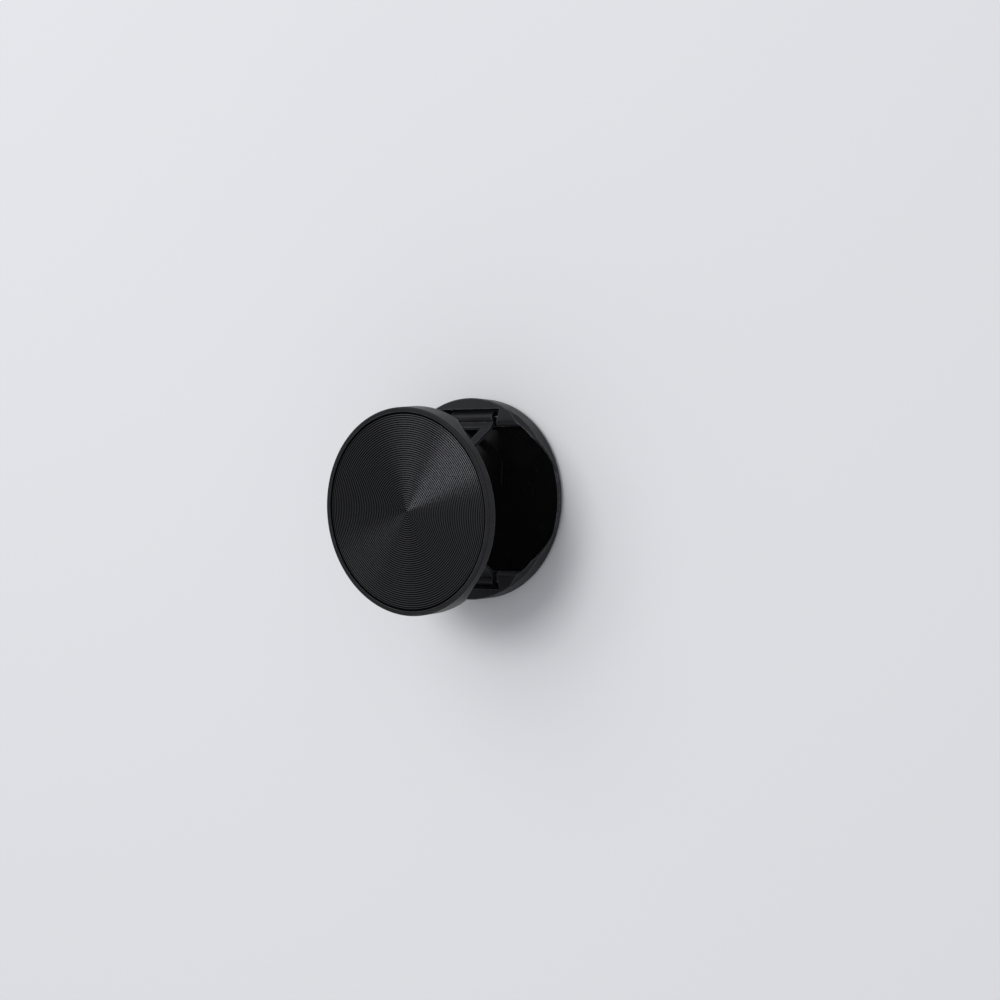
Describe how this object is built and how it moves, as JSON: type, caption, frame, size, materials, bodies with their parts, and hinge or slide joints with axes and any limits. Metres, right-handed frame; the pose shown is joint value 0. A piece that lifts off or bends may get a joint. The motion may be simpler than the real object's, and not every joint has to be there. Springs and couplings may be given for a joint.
{
  "type": "folding phone grip and stand",
  "caption": "Round stick-on phone grip whose face stands off a thin base on two folding hinged arms and folds flat.",
  "frame": {"origin": "centre of the adhesive face, where the grip meets the back of the phone", "axes": "+Z out of the phone's back towards the face, +Y up in the worn position, along the line from one hinge land to the other, +X to the right, along the hinge axes"},
  "size_m": [0.0408, 0.0431, 0.0259],
  "materials": {
    "satin_shell": "satin black",
    "arm_plastic": "satin charcoal",
    "gloss_panel": "polished black",
    "turned_insert": "black anodised, concentric turning",
    "adhesive_foam": "matt dark foam",
    "tape": "matt",
    "steel_pin": "ground"
  },
  "bodies": {
    "base": {"adhesive_pad": "adhesive_foam", "base_shell": "satin_shell", "base_floor_panel": "gloss_panel", "base_top_keeper": "satin_shell", "base_bottom_keeper": "satin_shell", "base_top_pin": "steel_pin", "base_bottom_pin": "steel_pin"},
    "top_lower": {"top_lower_arm": "arm_plastic"},
    "top_upper": {"top_upper_arm": "arm_plastic", "top_knee_pin": "steel_pin"},
    "face": {"face_shell": "satin_shell", "face_top_keeper": "satin_shell", "face_bottom_keeper": "satin_shell", "face_top_pin": "steel_pin", "face_bottom_pin": "steel_pin", "insert_tape": "tape", "face_insert": "turned_insert"},
    "bottom_lower": {"bottom_lower_arm": "arm_plastic"},
    "bottom_upper": {"bottom_upper_arm": "arm_plastic", "bottom_knee_pin": "steel_pin"}
  },
  "joints": [
    {"name": "top_arm_fold", "type": "hinge", "parent": "base", "child": "top_lower", "pos_m": [0, 0.0163, 0.00275], "axis": [1, 0, 0], "range_deg": [0, 32.02]},
    {"name": "top_knee", "type": "hinge", "parent": "top_lower", "child": "top_upper", "pos_m": [0, 0.00537, 0.0115], "axis": [1, 0, 0], "range_deg": [-77.48, 0]},
    {"name": "face_hinge", "type": "hinge", "parent": "top_upper", "child": "face", "pos_m": [0, 0.01398, 0.02254], "axis": [1, 0, 0], "range_deg": [0, 41.46]},
    {"name": "bottom_arm_fold", "type": "hinge", "parent": "base", "child": "bottom_lower", "pos_m": [0, -0.0163, 0.00275], "axis": [1, 0, 0], "range_deg": [-39.8, 0]},
    {"name": "bottom_knee", "type": "hinge", "parent": "bottom_lower", "child": "bottom_upper", "pos_m": [0, -0.00665, 0.01289], "axis": [1, 0, 0], "range_deg": [0, 64.94]}
  ],
  "couplings": [
    {"joint": "top_knee", "follows": "top_arm_fold", "ratio": -2.4181},
    {"joint": "face_hinge", "follows": "top_arm_fold", "ratio": 1.2932},
    {"joint": "bottom_arm_fold", "follows": "top_arm_fold", "ratio": -1.2412},
    {"joint": "bottom_knee", "follows": "top_arm_fold", "ratio": 2.0266}
  ]
}
